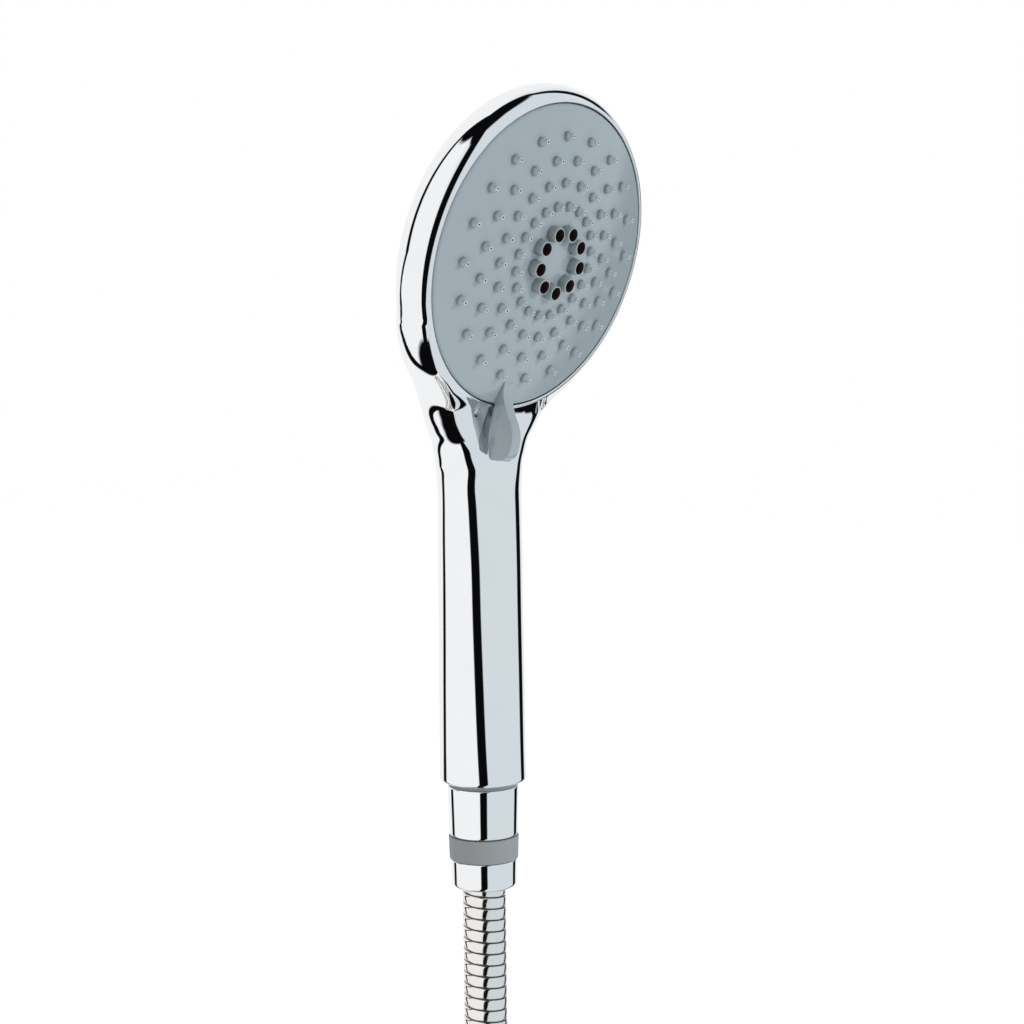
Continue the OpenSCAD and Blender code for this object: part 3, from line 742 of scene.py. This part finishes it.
# ---- Spiral hose ----
# A chromed steel strip is wound and locked on itself round a rubber liner, 14.8 mm across and
# 1.5 m long. It hangs straight down from the sleeve, and the rest is a tied coil below.
hose_d, hose_length = 14.8, 1.5
band_pitch, band_steps = 3.88, 28
# across one turn of the strip: part of the pitch, and depth under the hose's full radius
band = [(0.0, 0.55), (0.06, 0.5), (0.1, 0.12), (0.2, 0.0), (0.5, 0.03), (0.8, 0.1), (0.93, 0.22)]
route = [
    (0, 0, -34.5), (0, 0, -60), (0, 0, -90), (0, 0, -120), (0, 0, -150), (0, 0, -170),
    (0, 0, -191), (1, 0.5, -203), (4.5, 1.5, -214), (10, 2.5, -224.3), (17.5, 4, -233),
    (27, 5.5, -240), (37, 7, -244.6), (48, 8.5, -246.8), (59.5, 10, -247.2), (71, 11, -246),
    (81.5, 12, -243.2), (91.5, 13, -238.8), (100.5, 14, -232.4), (108, 14.5, -224.4),
    (113.5, 15, -214.6), (117, 15, -203), (118.4, 15.5, -191)]
coil_x, coil_z, coil_r, coil_y, turn_pitch, coil_turns = 44.4, -191, 74, 15.5, 15, 2
tail_y, tail_end_z = 62, -207
tail_start_y = coil_y + coil_turns * turn_pitch
turn_steps = 24


def on_coil(i, y):
    """The coil's centre line after i steps of its turns, at a place along its axis"""
    a = math.radians(360 // turn_steps * i)
    return coil_x + coil_r * math.cos(a), y, coil_z + coil_r * math.sin(a)


route += [on_coil(i, coil_y + turn_pitch * i / turn_steps)
          for i in range(1, turn_steps * coil_turns + 1)]
half_turn = turn_steps // 2
route += [on_coil(i, tail_start_y + (tail_y - tail_start_y) * i / half_turn)
          for i in range(1, half_turn)]
route += [(coil_x - coil_r, tail_y, coil_z), (coil_x - coil_r, tail_y, tail_end_z)]

line = smooth_line(route, 16)
along = np.concatenate([[0], np.cumsum(np.linalg.norm(np.diff(line, axis=0), axis=1))])
stations = np.arange(0, along[-1], 1.0)
centre = np.stack([np.interp(stations, along, line[:, k]) for k in range(3)], axis=1)
ahead = np.gradient(centre, axis=0)
ahead /= np.linalg.norm(ahead, axis=1, keepdims=True)
across = [np.array([1.0, 0, 0])]
for way in ahead[1:]:
    side = across[-1] - way * (across[-1] @ way)
    across.append(side / np.linalg.norm(side))
across = np.array(across)
turns = int(along[-1] / band_pitch) + 2
rows = turns * band_steps
place, depth = np.array(band).T
row = np.arange(rows + 1)[:, None]
s = band_pitch * (row / band_steps - 1 + place)
s = np.concatenate([s, s[:, :1] + band_pitch], axis=1)
depth = np.append(depth, depth[0])


def at_stations(values):
    """Values along the centre line, read at each point of the strip"""
    return np.stack([np.interp(s, stations, values[:, k]) for k in range(3)], axis=2)


middle, way, side = at_stations(centre), at_stations(ahead), at_stations(across)
beyond = np.where(s < 0, s, 0) + np.where(s > stations[-1], s - stations[-1], 0)
middle = middle + way * beyond[:, :, None]
other = -np.cross(way, side)
turn = (row * 2 * np.pi / band_steps)[:, :, None]
strip = middle + (hose_d / 2 - depth)[None, :, None] * (np.cos(turn) * side + np.sin(turn) * other)
columns = len(band) + 1
index = np.arange((rows + 1) * columns).reshape(rows + 1, columns)
index[:-band_steps, -1] = index[band_steps:, 0]
quads = np.stack([index[:-1, :-1], index[1:, :-1], index[1:, 1:], index[:-1, 1:]], axis=2)
quads = quads.reshape(-1, 4)
points = strip.reshape(-1, 3)
first_loop = [*index[:band_steps, 0], *index[0, :0:-1]]
last_loop = [*index[-band_steps - 1:, -1], *index[-1, :-1][::-1]]
faces = quads.tolist()
for loop, middle_point in ((first_loop, middle[0, 0]), (last_loop, middle[-1, -1])):
    points = np.concatenate([points, [middle_point]])
    faces += [(loop[k], loop[(k + 1) % len(loop)], len(points) - 1) for k in range(len(loop))]
used = np.unique(np.concatenate([np.ravel(f) for f in (quads, *faces[len(quads):])]))
renumber = {old: new for new, old in enumerate(used.tolist())}
hose_mesh = bpy.data.meshes.new("spiral_hose")
hose_faces = [[renumber[int(i)] for i in f] for f in faces]
hose_mesh.from_pydata((points[used] * MM).tolist(), [], hose_faces)
sunk = np.append(np.tile(depth, rows + 1), [0.5, 0.5])[used]
hose_shape = bmesh.new()
hose_shape.from_mesh(hose_mesh)
bmesh.ops.recalc_face_normals(hose_shape, faces=hose_shape.faces)
hose_shape.to_mesh(hose_mesh)
hose_shape.free()
mark = hose_mesh.attributes.new("sunk", "FLOAT", "POINT")
mark.data.foreach_set("value", (sunk / 0.55).astype(np.float32))
hose_mesh.shade_smooth()
hose_mesh.set_sharp_from_angle(angle=math.radians(60))


def wound_strip(tree):
    """Bright warm chrome on the strip, dull down in the groove, where painted shade makes it dark"""
    sunk = tree.node("ShaderNodeAttribute", {"attribute_name": "sunk"}, out="Fac")
    groove = tree.node("ShaderNodeValToRGB", {"stops": [(0.3, (0, 0, 0)), (0.85, (1, 1, 1))]},
                       {"Fac": sunk})
    marks = noise(tree, 160, 4)
    # painted shade: the strip's colour goes near black down in the groove
    shade = tree.node("ShaderNodeMix", {"data_type": "RGBA"}, {
        0: groove, 6: (0.9, 0.885, 0.87, 1), 7: (0.1, 0.085, 0.08, 1)}, 2)
    return tree.node("ShaderNodeBsdfPrincipled", values={
        "Base Color": shade, "Metallic": 1.0, "Roughness": 0.06 + 0.1 * marks + 0.4 * groove,
        "Normal": bump(tree, noise(tree, 700, 2), 0.12, 0.00008)})


hose_steel = material("chromed_steel_strip", wound_strip)
hose = show("spiral_hose", hose_mesh)
hose.data.materials.append(hose_steel)
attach(hose, "hose_body")
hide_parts("hose", "hose_coil", "hose_tail")

# ---- Coil tie ----
# A soft black rubber strap goes round the turns of the coil at their lowest point, as hoses are
# tied for storage.
tie_low, tie_high = (np.array(corner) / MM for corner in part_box("coil_tie"))
tie_t, tie_corner, tie_edge, tie_drop = 1.3, 4.0, 0.4, 0.3


def rounded_box(low, high, r, steps=6):
    """Outline of a box with round corners, across and up"""
    corners = [((high[0] - r, high[1] - r), 0), ((low[0] + r, high[1] - r), 90),
               ((low[0] + r, low[1] + r), 180), ((high[0] - r, low[1] + r), 270)]
    return [p for centre, a in corners for p in arc(centre, r, a, a + 90, steps)]


tie_loops = []
width = tie_high[0] - tie_low[0]
for reach, inward in ((0.0, 1), (tie_t, -1)):
    across_tie = (0, tie_edge, width - tie_edge, width)[::inward]
    for x in across_tie:
        inset = reach + (tie_drop * inward if x in (0, width) else 0.0)
        loop = rounded_box(tie_low[1:] + inset, tie_high[1:] - inset, tie_corner - inset)
        tie_loops.append([(tie_low[0] + x, y, z) for y, z in loop])
m = len(tie_loops[0])
tie_faces = [(a * m + i, a * m + (i + 1) % m, (a + 1) % 8 * m + (i + 1) % m, (a + 1) % 8 * m + i)
             for a in range(8) for i in range(m)]
tie = show("rubber_tie", closed_mesh("rubber_tie", np.concatenate(tie_loops), tie_faces, 50))


def rubber(colour, rough):
    """Moulded rubber with a dull bloom"""
    def surface(tree):
        bloom = noise(tree, 220, 4)
        shade = tree.node("ShaderNodeMix", {"data_type": "RGBA"}, {
            0: bloom, 6: (*colour, 1), 7: (*[c * 1.6 for c in colour], 1)}, 2)
        return tree.node("ShaderNodeBsdfPrincipled", values={
            "Base Color": shade, "Roughness": rough + 0.15 * bloom,
            "Normal": bump(tree, noise(tree, 2600, 3), 0.3, 0.00008)})
    return surface


tie_rubber = material("black_rubber_strap", rubber((0.035, 0.035, 0.038), 0.55))
tie.data.materials.append(tie_rubber)
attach(tie, "hose_body")
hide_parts("coil_tie")

# ---- Far end of the hose ----
# A chromed brass ferrule is crimped on the hose, and a hexagon union nut turns on its nipple, to
# be screwed on the mixer's outlet.
ferrule_h = 16
ferrule_profile = [(0, -4), (7.6, -4), (7.6, -0.3), (7.8, -0.02)] + arc((8.3, -0.42), 0.4, 90, 0, 4)
ferrule_profile += [(8.7, -3.2), (8.35, -3.6), (8.35, -4.4), (8.7, -4.8)]
ferrule_profile += arc((8.1, -ferrule_h + 0.6), 0.6, 0, -90, 4) + [(0, -ferrule_h)]
ferrule_points, ferrule_faces = lathe(held(ferrule_profile), 96)
ferrule_points += [coil_x - coil_r, tail_y, tail_end_z]
ferrule = show("mixer_end_ferrule", closed_mesh("mixer_end_ferrule", ferrule_points, ferrule_faces))
ferrule.data.materials.append(nut_chrome)
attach(ferrule, "hose_body")
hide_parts("mixer_ferrule")
tuple(c * MM for c in route[0])

# ---- Inner parts ----
# The water plates and wheel are white acetal, the fixed body is dark glass-filled plastic, and
# seals, screws, springs and the swivel are rubber, stainless steel and brass. They are pressed,
# screwed or clipped inside the shell.


def brushed(colour, rough, stretch):
    """Worked metal with fine lines"""
    def surface(tree):
        lines, spots = noise(tree, 1.0, 3, stretch), noise(tree, 240, 3)
        shade = tree.node("ShaderNodeMix", {"data_type": "RGBA"}, {
            0: spots, 6: (*[c * 0.88 for c in colour], 1), 7: (*colour, 1)}, 2)
        return tree.node("ShaderNodeBsdfPrincipled", values={
            "Base Color": shade, "Metallic": 1.0, "Roughness": rough + 0.12 * lines,
            "Normal": bump(tree, lines, 0.15, 0.00005)})
    return surface


white_acetal = material("white_acetal", moulded((0.8, 0.8, 0.78), 0.38, 0.2, 0.015))
dark_plastic = material("dark_glass_filled", moulded((0.08, 0.08, 0.088), 0.45, 0.4, 0.1))
seal_rubber = material("black_seal_rubber", rubber((0.024, 0.024, 0.025), 0.5))
stainless = material("stainless_steel", brushed((0.62, 0.62, 0.61), 0.24, (900, 900, 5000)))
turned_brass = material("turned_brass", brushed((0.75, 0.56, 0.28), 0.2, (60, 60, 5000)))
inner_looks = (
    (white_acetal, ("channel_plate", "distributor_disc", "turbine_wheel", "waterway_tube")),
    (dark_plastic, ("manifold", "edge_seal", "flow_regulator")),
    (ring_grey, ("inlet_connector",)),
    (seal_rubber, ("port_seal", "upper_o_ring", "lower_o_ring", "regulator_o_ring",
                   "inlet_washer", "swivel_o_ring", "mixer_washer")),
    (stainless, ("manifold_screws", "pivot_washer", "pivot_screw", "seal_spring", "detent_ball",
                 "detent_spring", "strainer_mesh", "swivel_circlip")),
    (turned_brass, ("swivel_stub", "hose_ferrule", "mixer_nipple")),
    (nut_chrome, ("mixer_nut",)))
for look, names in inner_looks:
    for name in names:
        for place in frame["nodes"][name].material_slots:
            place.material = look

# ---- Floor ----
# A plain pale studio floor, clear below the hanging coil.


def pale(tree):
    clouds = noise(tree, 6, 3)
    shade = tree.node("ShaderNodeMix", {"data_type": "RGBA"}, {
        0: clouds, 6: (0.86, 0.86, 0.86, 1), 7: (0.9, 0.9, 0.9, 1)}, 2)
    return tree.node("ShaderNodeBsdfPrincipled", values={
        "Base Color": shade, "Roughness": 0.85, "Specular IOR Level": 0.1,
        "Emission Color": (1, 1, 1, 1), "Emission Strength": 0.55})


floor_half, floor_z = 2500, cad_box[0][2] / MM - 12
floor_corners = [(x * floor_half, y * floor_half, floor_z)
                 for x, y in ((-1, -1), (1, -1), (1, 1), (-1, 1))]
floor_mesh = bpy.data.meshes.new("floor")
floor_mesh.from_pydata((np.array(floor_corners) * MM).tolist(), [], [(0, 1, 2, 3)])
floor = show("floor", floor_mesh)
floor.data.materials.append(material("pale_floor", pale))
floor.visible_glossy = False

# ---- Camera ----
# A long lens looks at the handset from its left front, a little from above.
azimuth, elevation, roll = math.radians(-49.33), math.radians(7.0), math.radians(0.59)
back = Vector((math.sin(azimuth) * math.cos(elevation), -math.cos(azimuth) * math.cos(elevation),
               math.sin(elevation)))
level = Vector((math.cos(azimuth), math.sin(azimuth), 0))
upright = back.cross(level)
across_view = level * math.cos(roll) - upright * math.sin(roll)
up_view = level * math.sin(roll) + upright * math.cos(roll)
look_at = Vector((0, 0, 0.095)) + across_view * 0.01056 - up_view * 0.00393
camera = bpy.data.objects.new("camera", bpy.data.cameras.new("camera"))
camera.data.lens, camera.data.sensor_width = 91.1, 36
camera.data.clip_start, camera.data.clip_end = 0.05, 20
turned = Matrix((across_view, up_view, back)).transposed().to_4x4()
camera.matrix_world = Matrix.Translation(look_at + back * 0.85) @ turned
bpy.context.scene.collection.objects.link(camera)
bpy.context.scene.camera = camera

# ---- Studio light ----
# Tall white softboxes stand round the table, with narrow dark gaps between them. A lamp at the
# right front lights the grey plastic and has no mirror image in the chrome.


def studio(tree):
    direction = tree.node("ShaderNodeTexCoord", out="Generated")

    def towards(way):
        return tree.node("ShaderNodeVectorMath", {"operation": "DOT_PRODUCT"},
                         {0: direction, 1: way}, "Value")

    front = tuple(Vector((back.x, back.y, 0)).normalized())
    heading = tree.math("ARCTAN2", towards(tuple(level)), towards(front)) * (180 / math.pi)
    height = tree.math("ARCSINE", towards((0, 0, 1))) * (180 / math.pi)

    def rises(value, at, soft):
        return tree.node("ShaderNodeMath", {"operation": "ADD", "use_clamp": True}, {
            0: (value - at) * (1 / soft), 1: 0.5})

    def distance(value, line):
        return tree.math("ABSOLUTE", value - line)

    # the gap in front of the handset leans to the right as it goes up
    middle = rises(distance(heading, 6 + 0.28 * height), 11.5, 2)
    # the left gap steps outwards below the handset, and the right one leans inwards above it
    step = rises(height, -6, 14)
    left = rises(distance(heading, -120 + 29 * step), 7.5, 3)
    right = distance(heading, 131 + 12 * rises(height, 8, 20) - 14 * rises(height, 38, 36))
    right = rises(right + 3 * rises(height, 0, 10), 10, 3)
    # the table under it and the ceiling over it are dark in the middle
    table = 1 - (1 - rises(height, -63, 5)) * (1 - rises(heading, 12, 6)) * rises(heading, -125, 10)
    roof = 60 - 8 * (1 - rises(heading, 40, 50)) + 13 * (1 - rises(heading, 0, 16))
    ceiling = 1 - rises(height, roof, 4) * rises(heading, -100, 8) * (1 - rises(heading, 140, 8))
    glow = middle * left * right * table * ceiling
    # the right softbox is weaker, and fades towards its far edge
    weak = rises(heading, 0, 20) * (1 - rises(heading, 140, 50))
    bright = 0.93 - 0.2 * weak
    lit = tree.node("ShaderNodeCombineColor", values={
        "Red": glow * (bright - 0.05 * weak) + 0.003, "Green": glow * bright + 0.003,
        "Blue": glow * (bright + 0.03 * weak) + 0.0035})
    seen = tree.node("ShaderNodeLightPath", out="Is Camera Ray")
    shade = tree.node("ShaderNodeMix", {"data_type": "RGBA"}, {0: seen, 6: lit, 7: (1, 1, 1, 1)}, 2)
    return tree.node("ShaderNodeBackground", values={"Color": shade})


world = bpy.data.worlds.new("studio")
world.use_nodes = True
world.node_tree.nodes.clear()
sky = Wire(world.node_tree)
sky.node("ShaderNodeOutputWorld", values={"Surface": studio(sky)})
bpy.context.scene.world = world
bpy.context.scene.view_settings.view_transform = "Standard"

key_power, key_size, key_distance = 7, 0.3, 1.3
key = bpy.data.objects.new("key_light", bpy.data.lights.new("key_light", "AREA"))
key.data.energy, key.data.size = key_power, key_size
key_way = (back * 0.5 + level + Vector((0, 0, 0.35))).normalized()
key_turn = key_way.to_track_quat("Z", "Y").to_matrix().to_4x4()
key.matrix_world = Matrix.Translation(look_at + key_way * key_distance) @ key_turn
key.visible_glossy = False
bpy.context.scene.collection.objects.link(key)
